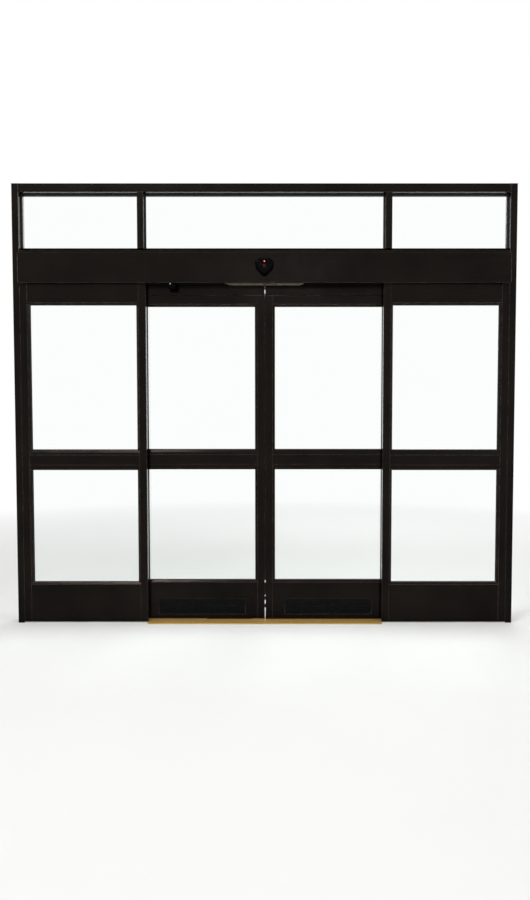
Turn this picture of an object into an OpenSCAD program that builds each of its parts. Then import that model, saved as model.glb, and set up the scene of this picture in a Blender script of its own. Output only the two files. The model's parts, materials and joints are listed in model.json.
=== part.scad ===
// Automatic sliding entrance: two sliding leaves that also break out, two fixed sidelights,
// a header with its track, and a transom light above.
// X runs along the wall, +Y is the street side, Z is up.
// The origin is on the floor, at the centre of the doorway.

/* [Package] */
// Overall width, outer face of one jamb to outer face of the other
package_w = 3328; // [2800:1:4000]
// Overall height above the floor
package_h = 2921; // [2750:1:3600]
// Face width of the jambs
jamb_face = 44; // [38:1:60]

/* [Doorway] */
// Clear width between the two sidelights
doorway_w = 1576; // [1300:1:1900]
// Height of the header's underside above the floor
header_under = 2269; // [2150:1:2400]
// How far a closed leaf laps past the edge of its sidelight
leaf_lap = 70; // [62:1:90]
// Gap between the two closed leaves
meeting_gap = 6; // [5:1:10]

/* [Panels] */
// Thickness of the leaves and the sidelights
panel_t = 44; // [36:1:54]
// Gap between the plane of the sidelights and the plane of the leaves
lane_gap = 22; // [20:1:32]
// How far a leaf lies back from the frame's street face
leaf_setback = 4; // [0:1:12]
// Face width of a leaf's stiles
leaf_stile = 48; // [44:1:76]
// Face width of a sidelight's stiles
sidelight_stile = 48; // [40:1:60]
// Width of the glazing stop beside a stile
stile_stop = 12; // [11:1:18]
// Height of the bottom rails' top edge above the floor
bottom_rail_top = 262; // [180:1:300]
// Glazing stop above a bottom rail
bottom_stop = 12; // [11:1:24]
// Height of the middle rails' lower edge above the floor
mid_rail_low = 1067; // [900:1:1150]
// Face height of the middle rails
mid_rail_h = 68; // [57:1:102]
// Glazing stop below a middle rail
mid_stop_low = 30; // [11:1:36]
// Glazing stop above a middle rail
mid_stop_high = 32; // [11:1:44]
// Face height of a leaf's top rail
top_rail_h = 57; // [50:1:102]
// Glazing stop below a top rail
top_stop = 11; // [11:1:24]
// Thickness of the glass
glass_t = 6; // [5:0.5:8]

/* [Header] */
// Depth of the header, front to back
header_d = 152; // [140:1:190]
// Height of the header
header_h = 196; // [190:1:240]
// Height of the hanger rail that shows between a leaf and the header
hanger_show = 63; // [50:1:80]
// Wall of the header's structural extrusion
header_wall = 5; // [4:0.5:8]
// Wall of the header's removable cover
cover_wall = 4; // [3:0.5:6]

/* [Transom] */
// Face width of the mullions
mullion_face = 42; // [38:1:60]
// How far a mullion stands inward of the sidelight's inner edge line
mullion_inset = 10; // [0:1:30]
// Height of the transom sill, glazing slope included
transom_sill_h = 37; // [30:1:60]
// Height of the head member
head_h = 56; // [44:1:80]

/* [Floor] */
// Height of the threshold and floor tracks
threshold_h = 6; // [5:0.5:9]
// How far the threshold reaches to the room side of the frame's centre line
threshold_in = 93; // [70:1:110]
// How far the threshold reaches to the street side of the frame's centre line
threshold_out = 85; // [70:1:110]

/* [Sensor] */
// Width of a motion sensor's housing
sensor_w = 122; // [90:1:140]
// Height of a motion sensor's housing
sensor_h = 113; // [90:1:130]
// How far a motion sensor stands out of the header
sensor_d = 44; // [30:1:60]

/* [Kick plates] */
// Width of the plate on a leaf's bottom rail
kick_w = 592; // [400:1:700]
// Height of the plate
kick_h = 107; // [80:1:150]
// Height of the plate's lower edge above the floor
kick_low = 41; // [30:1:80]
// Thickness of the plate
kick_t = 1.5; // [1:0.1:2]

/* [Hidden] */

bronze = [0.07, 0.06, 0.055];
gold = [0.78, 0.6, 0.28];
silver = [0.75, 0.74, 0.72];
steel = [0.55, 0.56, 0.58];
nylon = [0.85, 0.83, 0.76];
black = [0.03, 0.03, 0.035];
clear = [0.75, 0.85, 0.85, 0.3];

$fn = 64;
// Reach of a cut past the face it opens
cut = 1;
// Clearance between a fixed piece and its seat
seat = 0.3;
// Radial clearance of a pin in its bore
pin_gap = 0.05;
// Small bevel on the long edges of an extrusion
edge = 1.2;
// Clearance between a moving piece and a fixed one
run_gap = 5;

// Glazing pocket
glass_bite = 7;
pocket_d = glass_bite + 1;
pocket_w = glass_t + 2 * seat;
// How far a glazing stop lies back from the panel's face, its bevel, and how deep it roots in its bar
stop_drop = 4;
stop_bevel = 6;
stop_root = 2;
// Height of the slope on the stop above a rail
stop_slope = 16;

inner_x = package_w / 2 - jamb_face;
// The frame is as deep as its two lanes of panels
frame_d = 2 * panel_t + lane_gap + leaf_setback;
frame_back = frame_d / 2;
sidelight_y = (panel_t - frame_d) / 2;
leaf_y = frame_back - leaf_setback - panel_t / 2;

// Heights
leaf_bottom = threshold_h + 6;
hanger_bottom = header_under - hanger_show;
leaf_top = hanger_bottom - run_gap;
top_rail_low = leaf_top - top_rail_h;
header_top = header_under + header_h;
transom_low = header_top + transom_sill_h;
transom_high = package_h - head_h;
// Daylight openings of every panel, as [bottom, top]
LITES = [
    [bottom_rail_top + bottom_stop, mid_rail_low - mid_stop_low],
    [mid_rail_low + mid_rail_h + mid_stop_high, top_rail_low - top_stop],
];

// Panels, from the edge nearest the centre of the doorway
leaf_edge = meeting_gap / 2;
leaf_w = doorway_w / 2 + leaf_lap - leaf_edge;
sidelight_edge = doorway_w / 2;
sidelight_w = inner_x - sidelight_edge;

// Pivot of a leaf that breaks out, from the leaf's far edge
pivot_inset = panel_t / 2;
pivot_x = leaf_edge + leaf_w - pivot_inset;
top_pin_r = 10;
top_pin_l = 50;
guide_r = 5;
guide_shank_r = 8;
guide_shank_l = 50;
guide_lift = 2.5;
slot_w = 2 * guide_r + 3;

// Header
header_front = frame_back - header_d;
cap_t = 3;
header_half = inner_x - cap_t;
lip_h = 14;
lip_t = 4;
lip_gap = 0.3;

// Track, rollers and carriages
hanger_t = panel_t - 8;
hanger_y = frame_back - header_wall - run_gap - hanger_t / 2;
hanger_top = header_under + 9;
slot_front = hanger_y - hanger_t / 2 - 8;
track_half = inner_x - 20;
track_y = frame_back - header_wall - 12;
bead_r = 4;
shelf_z = header_under + 64;
shelf_t = 5;
bead_z = shelf_z + shelf_t + bead_r;
track_foot_t = 3;
roller_root_r = 18;
roller_rim_r = 22;
roller_w = 12;
roller_z = bead_z + bead_r + seat + roller_root_r;
keeper_r = 8;
keeper_z = shelf_z - seat - keeper_r;
axle_r = 5;
plate_t = 6;
plate_y = track_y - roller_w / 2 - 6 - plate_t;
plate_w = 130;
roller_pitch = 84;
foot_t = 6;
foot_w = hanger_t - 4;
carriage_from_ends = 140;
CARRIAGES = [leaf_edge + carriage_from_ends, leaf_edge + leaf_w - carriage_from_ends];

// Things on the header
plate_half = 265;
plate_slant = 32;
plate_drop = 3;
sensor_lift = 43;

// Mirrors the right-hand piece for the left side
module on_side(side) {
    if (side > 0) children();
    else mirror([1, 0, 0]) children();
}

// Extrudes an outline drawn in Y and Z along X, from x0 to x1
module along_x(x0, x1) {
    translate([x0, 0, 0]) rotate([90, 0, 90]) linear_extrude(x1 - x0) children();
}

// A rectangle from [x0, y0] to [x1, y1] with bevelled corners
module bevelled(x0, y0, x1, y1, b = edge) {
    polygon([
        [x0 + b, y0], [x1 - b, y0], [x1, y0 + b], [x1, y1 - b],
        [x1 - b, y1], [x0 + b, y1], [x0, y1 - b], [x0, y0 + b],
    ]);
}

// Outline of a glazing stop: x away from the bar, y through the panel, with the pocket for the glass
function stop_points(w, slope = stop_bevel) =
    let (face = panel_t / 2 - stop_drop, lip = face - stop_bevel, half = pocket_w / 2)
    [
        [-stop_root, -face], [w - slope, -face], [w, -lip], [w, -half],
        [w - pocket_d, -half], [w - pocket_d, half],
        [w, half], [w, lip], [w - slope, face], [-stop_root, face],
    ];

// A stile that stands with its outer edge at x = 0 and its glass towards +X
module stile(face, low, high) {
    translate([0, 0, low]) linear_extrude(high - low) bevelled(0, -panel_t / 2, face, panel_t / 2);
    for (lite = LITES)
        translate([face, 0, lite[0]]) linear_extrude(lite[1] - lite[0]) polygon(stop_points(stile_stop));
}

// A rail from x0 to x1 between two stiles, with a glazing stop below and above it where the width is over 0
module rail(x0, x1, low, high, stop_below, stop_above) {
    along_x(x0, x1) union() {
        bevelled(-panel_t / 2, low, panel_t / 2, high);
        if (stop_above > 0) translate([0, high]) rotate(90)
            polygon(stop_points(stop_above, min(stop_slope, stop_above - edge)));
        if (stop_below > 0) translate([0, low]) rotate(-90) polygon(stop_points(stop_below));
    }
}

// The two lites of a panel, held in the pockets of its stiles and rails
module panel_glass(x0, x1) {
    for (lite = LITES)
        translate([x0 - glass_bite, -glass_t / 2, lite[0] - glass_bite])
            cube([x1 - x0 + 2 * glass_bite, glass_t, lite[1] - lite[0] + 2 * glass_bite]);
}

// Frame
module jamb(side) {
    color(bronze) on_side(side) difference() {
        linear_extrude(package_h) bevelled(inner_x, -frame_back, inner_x + jamb_face, frame_back);
        translate([inner_x - cut, -pocket_w / 2, transom_low - pocket_d])
            cube([pocket_d + cut, pocket_w, transom_high - transom_low + 2 * pocket_d]);
    }
}

module head() {
    color(bronze) difference() {
        along_x(-inner_x, inner_x) bevelled(-frame_back, transom_high, frame_back, package_h);
        translate([-inner_x - cut, -pocket_w / 2, transom_high - cut])
            cube([2 * (inner_x + cut), pocket_w, pocket_d + cut]);
    }
}

module transom_sill() {
    slope_run = 14;
    slope_rise = 16;
    half = pocket_w / 2;
    color(bronze) along_x(-inner_x, inner_x) polygon([
        [-frame_back, header_top], [frame_back, header_top],
        [frame_back, transom_low - slope_rise], [frame_back - slope_run, transom_low],
        [half, transom_low], [half, transom_low - pocket_d],
        [-half, transom_low - pocket_d], [-half, transom_low],
        [slope_run - frame_back, transom_low], [-frame_back, transom_low - slope_rise],
    ]);
}

mullion_x0 = sidelight_edge + mullion_inset;
mullion_x1 = mullion_x0 + mullion_face;
module mullions() {
    color(bronze) for (side = [-1, 1]) on_side(side)
        translate([0, 0, transom_low]) linear_extrude(transom_high - transom_low) difference() {
            bevelled(mullion_x0, -frame_back, mullion_x1, frame_back);
            translate([mullion_x0 - cut, -pocket_w / 2]) square([pocket_d + cut, pocket_w]);
            translate([mullion_x1 - pocket_d, -pocket_w / 2]) square([pocket_d + cut, pocket_w]);
        }
}

module transom_glass() {
    low = transom_low - glass_bite;
    high = transom_high + glass_bite;
    spans = [
        [-mullion_x0, mullion_x0],
        [mullion_x1, inner_x],
        [-inner_x, -mullion_x1],
    ];
    color(clear) for (span = spans)
        translate([span[0] - glass_bite, -glass_t / 2, low])
            cube([span[1] - span[0] + 2 * glass_bite, glass_t, high - low]);
}

// Header
module header_body() {
    front = header_front + cover_wall + lip_gap;
    color(bronze) along_x(-header_half, header_half) polygon([
        [frame_back, header_under], [frame_back, header_top], [front, header_top],
        [front, header_top - lip_h], [front + lip_t, header_top - lip_h],
        [front + lip_t, header_top - header_wall],
        [frame_back - header_wall, header_top - header_wall], [frame_back - header_wall, header_under],
    ]);
}

module header_cover() {
    back = header_front + cover_wall;
    hook_z = header_top - lip_h - lip_gap;
    hook_y = back + 2 * lip_gap + lip_t;
    floor_z = header_under + cover_wall;
    color(bronze) along_x(-header_half, header_half) polygon([
        [header_front + edge, header_under], [slot_front, header_under],
        [slot_front, header_under + lip_h], [slot_front - lip_t, header_under + lip_h],
        [slot_front - lip_t, floor_z], [back, floor_z],
        [back, hook_z - lip_t], [hook_y + lip_t, hook_z - lip_t],
        [hook_y + lip_t, hook_z + lip_t], [hook_y, hook_z + lip_t],
        [hook_y, hook_z], [back, hook_z],
        [back, header_top], [header_front + edge, header_top],
        [header_front, header_top - edge], [header_front, header_under + edge],
    ]);
}

module header_end_caps() {
    color(bronze) for (side = [-1, 1]) on_side(side)
        along_x(header_half, inner_x) bevelled(header_front, header_under, frame_back, header_top);
}

module header_track() {
    wall_y = frame_back - header_wall;
    foot_below = 18;
    foot_h = 42;
    color(silver) along_x(-track_half, track_half) union() {
        translate([wall_y - track_foot_t, shelf_z - foot_below]) square([track_foot_t, foot_h]);
        translate([track_y - bead_r, shelf_z])
            square([wall_y - track_y + bead_r - track_foot_t / 2, shelf_t]);
        translate([track_y - bead_r / 2, shelf_z + shelf_t / 2]) square([bead_r, shelf_t / 2 + bead_r]);
        translate([track_y, bead_z]) circle(bead_r);
    }
}

module underside_plate() {
    near = header_front + 6;
    far = slot_front - 6;
    color(silver) translate([0, 0, header_under - plate_drop]) linear_extrude(plate_drop) polygon([
        [-plate_half, near], [plate_half, near],
        [plate_half - plate_slant, far], [plate_slant - plate_half, far],
    ]);
}

// A shield-shaped moulded housing, rounded towards its front; it stands out of the face along +Y
module sensor_housing() {
    half = sensor_w / 2;
    middle = sensor_h * 0.49;
    // Corners of the outline at the header, as [x, height, radius]
    corners = [
        [half - 31, sensor_h - 12, 12], [half - 10, sensor_h - 27, 10],
        [half - 14, sensor_h - 61, 10], [7, 10, 10],
    ];
    // Layers, as [share of the depth, share of the outline's size, drop of the shoulders]
    layers = [[0.4, 1, 0], [0.7, 0.96, 2], [0.9, 0.88, 5], [1, 0.79, 8.5]];
    module shield(size, drop) {
        hull() for (c = corners, x = [-1, 1])
            translate([x * c[0] * size, middle + (c[1] - middle) * size - (c[1] > middle ? drop : 0)])
                circle(c[2] * size, $fn = 32);
    }
    rotate([90, 0, 180]) hull() for (layer = layers)
        linear_extrude(sensor_d * layer[0]) shield(layer[1], layer[2]);
}

module inside_sensor() {
    color(black) translate([0, header_front, header_under + sensor_lift]) mirror([0, 1, 0]) sensor_housing();
}

module outside_sensor() {
    color(black) translate([0, frame_back, header_under + sensor_lift]) sensor_housing();
}

// Floor
module threshold() {
    slope = 12;
    rib_pitch = 9;
    rib_gap = 3;
    rib_d = 1;
    ribs_from = slope - threshold_in + 6;
    ribs_to = threshold_out - slope - 6;
    rib_n = floor((ribs_to - ribs_from) / rib_pitch);
    color(gold) along_x(-sidelight_edge, sidelight_edge) difference() {
        polygon([
            [-threshold_in, 0], [threshold_out, 0], [threshold_out, 1.5],
            [threshold_out - slope, threshold_h], [slope - threshold_in, threshold_h], [-threshold_in, 1.5],
        ]);
        for (i = [0:rib_n - 1])
            translate([ribs_from + i * rib_pitch, threshold_h - rib_d]) square([rib_gap, rib_d + cut]);
    }
}

// A sill under the sidelight and a lip on its street side, with the slot for the guide pin between them
module floor_track(side) {
    nose = 3;
    color(silver) on_side(side) along_x(sidelight_edge, inner_x) {
        bevelled(-frame_back - nose, 0, leaf_y - slot_w / 2, threshold_h, 1);
        bevelled(leaf_y + slot_w / 2, 0, frame_back, threshold_h, 1);
    }
}

// Sidelights
module sidelight(side) {
    color(bronze) on_side(side) translate([sidelight_edge, sidelight_y, 0]) children();
}

module sidelight_interlock_stile(side) {
    sidelight(side) stile(sidelight_stile, threshold_h, header_under);
}

module sidelight_jamb_stile(side) {
    sidelight(side) translate([sidelight_w, 0, 0]) mirror([1, 0, 0])
        stile(sidelight_stile, threshold_h, header_under);
}

module sidelight_rail(side, low, high, stop_below, stop_above) {
    sidelight(side) rail(sidelight_stile, sidelight_w - sidelight_stile, low, high, stop_below, stop_above);
}

module sidelight_glass(side) {
    rim = sidelight_stile + stile_stop;
    color(clear) on_side(side) translate([sidelight_edge, sidelight_y, 0])
        panel_glass(rim, sidelight_w - rim);
}

// Leaves
module leaf(side) {
    color(bronze) on_side(side) translate([leaf_edge, leaf_y, 0]) children();
}

module leaf_meeting_stile(side) {
    leaf(side) stile(leaf_stile, leaf_bottom, leaf_top);
}

module leaf_pivot_stile(side) {
    leaf(side) difference() {
        translate([leaf_w, 0, 0]) mirror([1, 0, 0]) stile(leaf_stile, leaf_bottom, leaf_top);
        translate([leaf_w - pivot_inset, 0, leaf_top - top_pin_l])
            cylinder(r = top_pin_r + pin_gap, h = top_pin_l + cut);
        translate([leaf_w - pivot_inset, 0, leaf_bottom - cut])
            cylinder(r = guide_shank_r + pin_gap, h = guide_shank_l + seat + cut);
    }
}

module leaf_rail(side, low, high, stop_below, stop_above) {
    leaf(side) rail(leaf_stile, leaf_w - leaf_stile, low, high, stop_below, stop_above);
}

// The plate on the room face of a leaf's bottom rail
module leaf_kick_plate(side) {
    face = leaf_y - panel_t / 2;
    from = leaf_edge + (leaf_w - kick_w) / 2;
    color(black) on_side(side) along_x(from, from + kick_w)
        bevelled(face - kick_t, kick_low, face, kick_low + kick_h, kick_t / 3);
}

module leaf_glass(side) {
    rim = leaf_stile + stile_stop;
    color(clear) on_side(side) translate([leaf_edge, leaf_y, 0]) panel_glass(rim, leaf_w - rim);
}

// The pin under a leaf that turns in the leaf's floor track and guides it
module guide_pin(side) {
    color(steel) on_side(side) translate([pivot_x, leaf_y, 0]) {
        translate([0, 0, guide_lift]) cylinder(r = guide_r, h = leaf_bottom - guide_lift);
        translate([0, 0, leaf_bottom]) cylinder(r = guide_shank_r, h = guide_shank_l);
    }
}

// Hanger rail, with the pin on which the leaf breaks out
module hanger_rail(side) {
    color(bronze) on_side(side) union() {
        along_x(leaf_edge + 1, leaf_edge + leaf_w)
            bevelled(hanger_y - hanger_t / 2, hanger_bottom, hanger_y + hanger_t / 2, hanger_top);
        translate([pivot_x, leaf_y, leaf_top - top_pin_l + seat])
            cylinder(r = top_pin_r, h = top_pin_l + run_gap + 1);
    }
}

// Two carriage plates that stand on the hanger rail, each with axles for its rollers
module carriages(side) {
    plate_top = roller_z + 20;
    corner = 14;
    axle_end = track_y + roller_w / 2;
    color(steel) on_side(side) for (x = CARRIAGES) translate([x, 0, 0]) {
        translate([-plate_w / 2, hanger_y - foot_w / 2, hanger_top]) cube([plate_w, foot_w, foot_t]);
        translate([0, plate_y, 0]) rotate([90, 0, 0]) mirror([0, 0, 1]) {
            linear_extrude(plate_t) polygon([
                [-plate_w / 2, hanger_top + foot_t / 2], [plate_w / 2, hanger_top + foot_t / 2],
                [plate_w / 2, plate_top - corner], [plate_w / 2 - corner, plate_top],
                [corner - plate_w / 2, plate_top], [-plate_w / 2, plate_top - corner],
            ]);
            for (u = [-1, 1]) translate([u * roller_pitch / 2, roller_z, plate_t / 2])
                cylinder(r = axle_r, h = axle_end - plate_y - plate_t / 2);
            translate([0, keeper_z, plate_t / 2])
                cylinder(r = axle_r / 2, h = axle_end - plate_y - plate_t / 2);
        }
    }
}

// Grooved rollers that run on the track's bead, and a keeper roller below its shelf
module rollers(side) {
    rim = roller_rim_r;
    root = roller_root_r;
    half = roller_w / 2;
    // Half the width of the groove at the rim and at its root
    mouth = bead_r + 0.8;
    root_half = mouth - 1;
    color(nylon) on_side(side) for (x = CARRIAGES) translate([x, track_y, 0]) rotate([90, 0, 0]) {
        for (u = [-1, 1]) translate([u * roller_pitch / 2, roller_z, 0]) rotate_extrude() polygon([
            [axle_r + pin_gap, -half], [rim, -half], [rim, -mouth], [root, -root_half],
            [root, root_half], [rim, mouth], [rim, half], [axle_r + pin_gap, half],
        ]);
        translate([0, keeper_z, -half + 2]) rotate_extrude() polygon([
            [axle_r / 2 + pin_gap, 0], [keeper_r, 0],
            [keeper_r, roller_w - 4], [axle_r / 2 + pin_gap, roller_w - 4],
        ]);
    }
}

jamb(-1);  // left_jamb
jamb(1);  // right_jamb
head();
transom_sill();
mullions();
transom_glass();
header_body();
header_cover();
header_end_caps();
header_track();
underside_plate();
threshold();
floor_track(-1);  // left_floor_track
floor_track(1);  // right_floor_track
inside_sensor();
outside_sensor();
sidelight_interlock_stile(-1);  // left_sidelight_interlock_stile
sidelight_jamb_stile(-1);  // left_sidelight_jamb_stile
sidelight_rail(-1, top_rail_low, header_under, top_stop, 0);  // left_sidelight_top_rail
sidelight_rail(-1, mid_rail_low, mid_rail_low + mid_rail_h, mid_stop_low, mid_stop_high);  // left_sidelight_mid_rail
sidelight_rail(-1, threshold_h, bottom_rail_top, 0, bottom_stop);  // left_sidelight_bottom_rail
sidelight_glass(-1);  // left_sidelight_glass
sidelight_interlock_stile(1);  // right_sidelight_interlock_stile
sidelight_jamb_stile(1);  // right_sidelight_jamb_stile
sidelight_rail(1, top_rail_low, header_under, top_stop, 0);  // right_sidelight_top_rail
sidelight_rail(1, mid_rail_low, mid_rail_low + mid_rail_h, mid_stop_low, mid_stop_high);  // right_sidelight_mid_rail
sidelight_rail(1, threshold_h, bottom_rail_top, 0, bottom_stop);  // right_sidelight_bottom_rail
sidelight_glass(1);  // right_sidelight_glass
hanger_rail(-1);  // left_hanger_rail
carriages(-1);  // left_carriages
rollers(-1);  // left_rollers
hanger_rail(1);  // right_hanger_rail
carriages(1);  // right_carriages
rollers(1);  // right_rollers
leaf_meeting_stile(-1);  // left_leaf_meeting_stile
leaf_pivot_stile(-1);  // left_leaf_pivot_stile
leaf_rail(-1, top_rail_low, leaf_top, top_stop, 0);  // left_leaf_top_rail
leaf_rail(-1, mid_rail_low, mid_rail_low + mid_rail_h, mid_stop_low, mid_stop_high);  // left_leaf_mid_rail
leaf_rail(-1, leaf_bottom, bottom_rail_top, 0, bottom_stop);  // left_leaf_bottom_rail
leaf_kick_plate(-1);  // left_leaf_kick_plate
leaf_glass(-1);  // left_leaf_glass
guide_pin(-1);  // left_guide_pin
leaf_meeting_stile(1);  // right_leaf_meeting_stile
leaf_pivot_stile(1);  // right_leaf_pivot_stile
leaf_rail(1, top_rail_low, leaf_top, top_stop, 0);  // right_leaf_top_rail
leaf_rail(1, mid_rail_low, mid_rail_low + mid_rail_h, mid_stop_low, mid_stop_high);  // right_leaf_mid_rail
leaf_rail(1, leaf_bottom, bottom_rail_top, 0, bottom_stop);  // right_leaf_bottom_rail
leaf_kick_plate(1);  // right_leaf_kick_plate
leaf_glass(1);  // right_leaf_glass
guide_pin(1);  // right_guide_pin
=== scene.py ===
"""Looks of the automatic sliding entrance: materials, seals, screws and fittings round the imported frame."""

import json
import math
import random

import bmesh
import bpy
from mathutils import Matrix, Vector

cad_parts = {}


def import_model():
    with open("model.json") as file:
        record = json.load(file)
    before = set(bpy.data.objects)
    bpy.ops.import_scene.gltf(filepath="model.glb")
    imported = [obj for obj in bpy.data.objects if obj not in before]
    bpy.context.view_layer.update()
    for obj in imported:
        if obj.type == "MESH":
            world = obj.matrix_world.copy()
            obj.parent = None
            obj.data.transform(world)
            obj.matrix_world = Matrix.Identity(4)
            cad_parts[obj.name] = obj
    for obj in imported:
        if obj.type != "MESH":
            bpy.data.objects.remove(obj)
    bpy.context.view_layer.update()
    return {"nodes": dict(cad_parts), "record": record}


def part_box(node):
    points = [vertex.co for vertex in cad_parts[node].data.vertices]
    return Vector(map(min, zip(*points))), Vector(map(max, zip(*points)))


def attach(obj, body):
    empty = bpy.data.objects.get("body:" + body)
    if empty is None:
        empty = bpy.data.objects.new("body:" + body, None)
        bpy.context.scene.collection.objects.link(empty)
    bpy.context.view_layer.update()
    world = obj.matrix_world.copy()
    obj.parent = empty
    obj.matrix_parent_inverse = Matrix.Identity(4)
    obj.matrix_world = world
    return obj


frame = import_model()

SIDES = ((-1, "left"), (1, "right"))
X_AXIS, Z_AXIS = 0, 2
UP, DOWN, TO_STREET, TO_ROOM = (0, 0, 1), (0, 0, -1), (0, 1, 0), (0, -1, 0)

# Camera of the photograph, a little wider so that both ends of the entrance are in the picture
CAMERA_AT = (0.102, -4.877, 1.397)
CAMERA_PITCH = 2.72
CAMERA_LENS = 28.9
CAMERA_SENSOR = 36
CAMERA_SHIFT = (-0.0167, 0.0)
CAMERA_CLIP = (0.05, 200)

# Light: what the world gives, and the lamps' names, places, targets, sizes and powers
WORLD_FILL = 0.52
LAMPS = (
    ("key_lamp", (-2.6, -4.6, 6.4), (0, 0, 1.2), (3.0, 2.2), 280),
    ("side_lamp", (4.8, -3.0, 4.6), (0, 0, 1.2), (2.0, 2.6), 100),
    ("street_lamp", (1.8, 5.0, 4.2), (0, 0, 1.3), (3.2, 2.2), 130),
    ("header_lamp", (0.25, -5.3, 3.30), (0, 0, 2.3), (1.3, 0.36), 2.2),
)
SEEN_BY = ("Is Camera Ray", "Is Glossy Ray", "Is Transmission Ray")
WHITE = (1.0, 1.0, 1.0, 1)

# Floor, and the distances from the doorway between which it passes into white
FLOOR_SIZE = 60
FLOOR_SHADES = ((0.80, 0.80, 0.79, 1), (0.83, 0.83, 0.82, 1))
FLOOR_FADE = (2.6, 7.0)

# Gaps and seats, in metres
HANGER_GAP = 0.005  # from a leaf's top rail up to its hanger rail
PILE_CLEAR = 0.0009  # from the interlock pile to the kick plate that passes it
PIN_CLEAR = 0.012  # from a leaf's seals to its guide pin
SEATED = 0.0003  # how far trim is let into what carries it
PILE_THICK = 0.005  # of every pile strip and brush, across its row of tufts

# Angles in degrees from which an edge of a piece stays sharp
CRISP, SOFT, ROUND, DOMED = 35, 40, 50, 60


# Nodes and materials

class Tree:
    """A material's nodes, with short calls for the ones that the materials here share."""

    def __init__(self, name):
        self.material = bpy.data.materials.new(name)
        self.material.use_nodes = True
        self.tree = self.material.node_tree
        self.shader = self.tree.nodes["Principled BSDF"]
        self.output = self.tree.nodes["Material Output"]
        self.place = self.add("ShaderNodeTexCoord").outputs["Object"]

    def add(self, kind, **values):
        node = self.tree.nodes.new(kind)
        for key, value in values.items():
            setattr(node, key, value)
        return node

    def link(self, source, target):
        self.tree.links.new(source, target)

    def set(self, **values):
        for key, value in values.items():
            self.shader.inputs[key.replace("_", " ")].default_value = value

    def scaled(self, scale):
        node = self.add("ShaderNodeMapping")
        node.inputs["Scale"].default_value = scale
        self.link(self.place, node.inputs["Vector"])
        return node.outputs["Vector"]

    def split(self, vector):
        """The X, Y and Z of a vector."""
        node = self.add("ShaderNodeSeparateXYZ")
        self.link(vector, node.inputs["Vector"])
        return [node.outputs[axis] for axis in "XYZ"]

    def noise(self, scale, detail=3.0, stretch=(1, 1, 1), rough=0.5):
        node = self.add("ShaderNodeTexNoise")
        node.inputs["Scale"].default_value = scale
        node.inputs["Detail"].default_value = detail
        node.inputs["Roughness"].default_value = rough
        self.link(self.scaled(stretch), node.inputs["Vector"])
        return node.outputs["Fac"]

    def ranged(self, source, low, high, to_low, to_high):
        node = self.add("ShaderNodeMapRange")
        for socket, value in zip(node.inputs[1:5], (low, high, to_low, to_high)):
            socket.default_value = value
        self.link(source, node.inputs["Value"])
        return node.outputs["Result"]

    def math(self, operation, a, b=0):
        node = self.add("ShaderNodeMath", operation=operation)
        for socket, value in zip(node.inputs, (a, b)):
            if isinstance(value, (int, float)):
                socket.default_value = value
            else:
                self.link(value, socket)
        return node.outputs["Value"]

    def times(self, a, b):
        return self.math("MULTIPLY", a, b)

    def plus(self, a, b):
        return self.math("ADD", a, b)

    def blended(self, factor, a, b):
        node = self.add("ShaderNodeMix", data_type="RGBA")
        for name, value in (("A", a), ("B", b)):
            socket = next(s for s in node.inputs if s.name == name and s.type == "RGBA")
            if isinstance(value, tuple):
                socket.default_value = value
            else:
                self.link(value, socket)
        self.link(factor, node.inputs["Factor"])
        return next(s for s in node.outputs if s.type == "RGBA")

    def colour(self, source):
        self.link(source, self.shader.inputs["Base Color"])

    def rough(self, source):
        self.link(source, self.shader.inputs["Roughness"])

    def bump(self, source, strength, distance):
        node = self.add("ShaderNodeBump")
        node.inputs["Strength"].default_value = strength
        node.inputs["Distance"].default_value = distance
        self.link(source, node.inputs["Height"])
        self.link(node.outputs["Normal"], self.shader.inputs["Normal"])

    def edges(self, radius):
        """1 on a narrow band along sharp edges, 0 elsewhere."""
        bevel = self.add("ShaderNodeBevel", samples=4)
        bevel.inputs["Radius"].default_value = radius
        normal = self.add("ShaderNodeNewGeometry").outputs["Normal"]
        dot = self.add("ShaderNodeVectorMath", operation="DOT_PRODUCT")
        self.link(bevel.outputs["Normal"], dot.inputs[0])
        self.link(normal, dot.inputs[1])
        return self.ranged(dot.outputs["Value"], 0.995, 0.80, 0, 1)

    def upward(self):
        """1 on faces that look up, 0 elsewhere."""
        _, _, rise = self.split(self.add("ShaderNodeNewGeometry").outputs["Normal"])
        return self.ranged(rise, 0.7, 0.95, 0, 1)

    def overlay(self, factor, other):
        """Shows another shader over the main one, by a factor."""
        mix = self.add("ShaderNodeMixShader")
        self.link(factor, mix.inputs["Fac"])
        self.link(self.shader.outputs["BSDF"], mix.inputs[1])
        self.link(other, mix.inputs[2])
        self.link(mix.outputs["Shader"], self.output.inputs["Surface"])


def seen_rays(tree):
    """1 for rays of the camera, mirrors and glass, 0 for all others."""
    rays = tree.nodes.new("ShaderNodeLightPath").outputs
    total = rays[SEEN_BY[0]]
    for name in SEEN_BY[1:]:
        most = tree.nodes.new("ShaderNodeMath")
        most.operation = "MAXIMUM"
        tree.links.new(total, most.inputs[0])
        tree.links.new(rays[name], most.inputs[1])
        total = most.outputs["Value"]
    return total


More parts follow.
